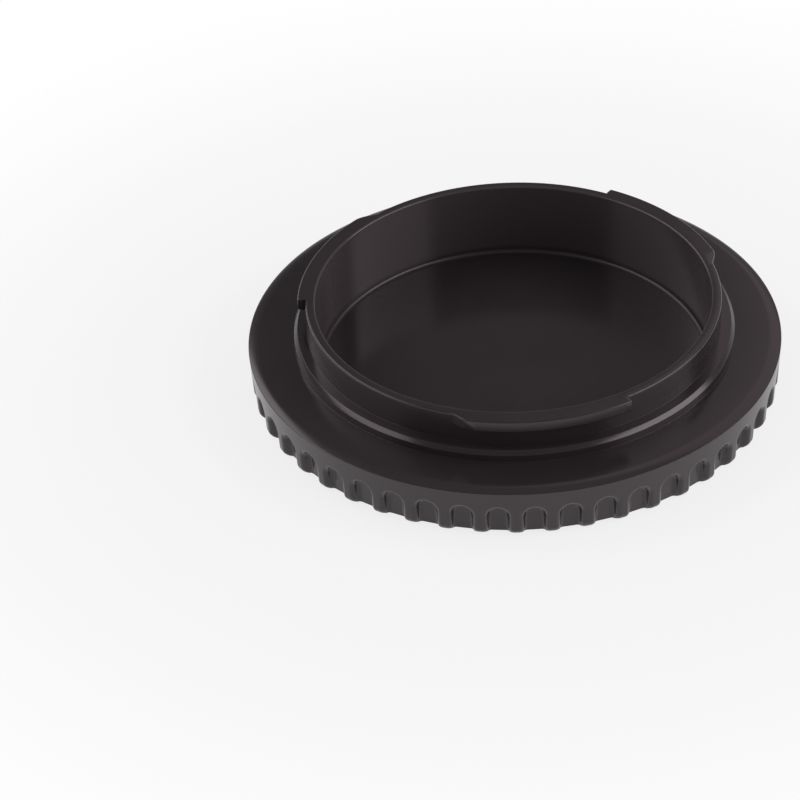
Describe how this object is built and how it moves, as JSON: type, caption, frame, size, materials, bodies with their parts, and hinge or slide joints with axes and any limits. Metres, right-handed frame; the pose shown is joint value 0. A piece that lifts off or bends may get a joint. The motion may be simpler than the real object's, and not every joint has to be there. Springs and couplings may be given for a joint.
{
  "type": "camera body cap",
  "caption": "Round black cap that closes the lens mount of a camera body: a disc with a grooved grip rim, and a bayonet ring with lugs on its inner side.",
  "frame": {"origin": "centre of the outer face, on which the cap lies", "axes": "+Z is the cap's axis and points from the outer face to the bayonet ring, into the camera; the square end of the first lug is 58 degrees from +X towards +Y"},
  "size_m": [0.065, 0.065, 0.0118],
  "materials": {
    "cap_plastic": "semi-gloss black moulded plastic"
  },
  "bodies": {
    "root": {"body_cap": "cap_plastic"}
  },
  "joints": []
}
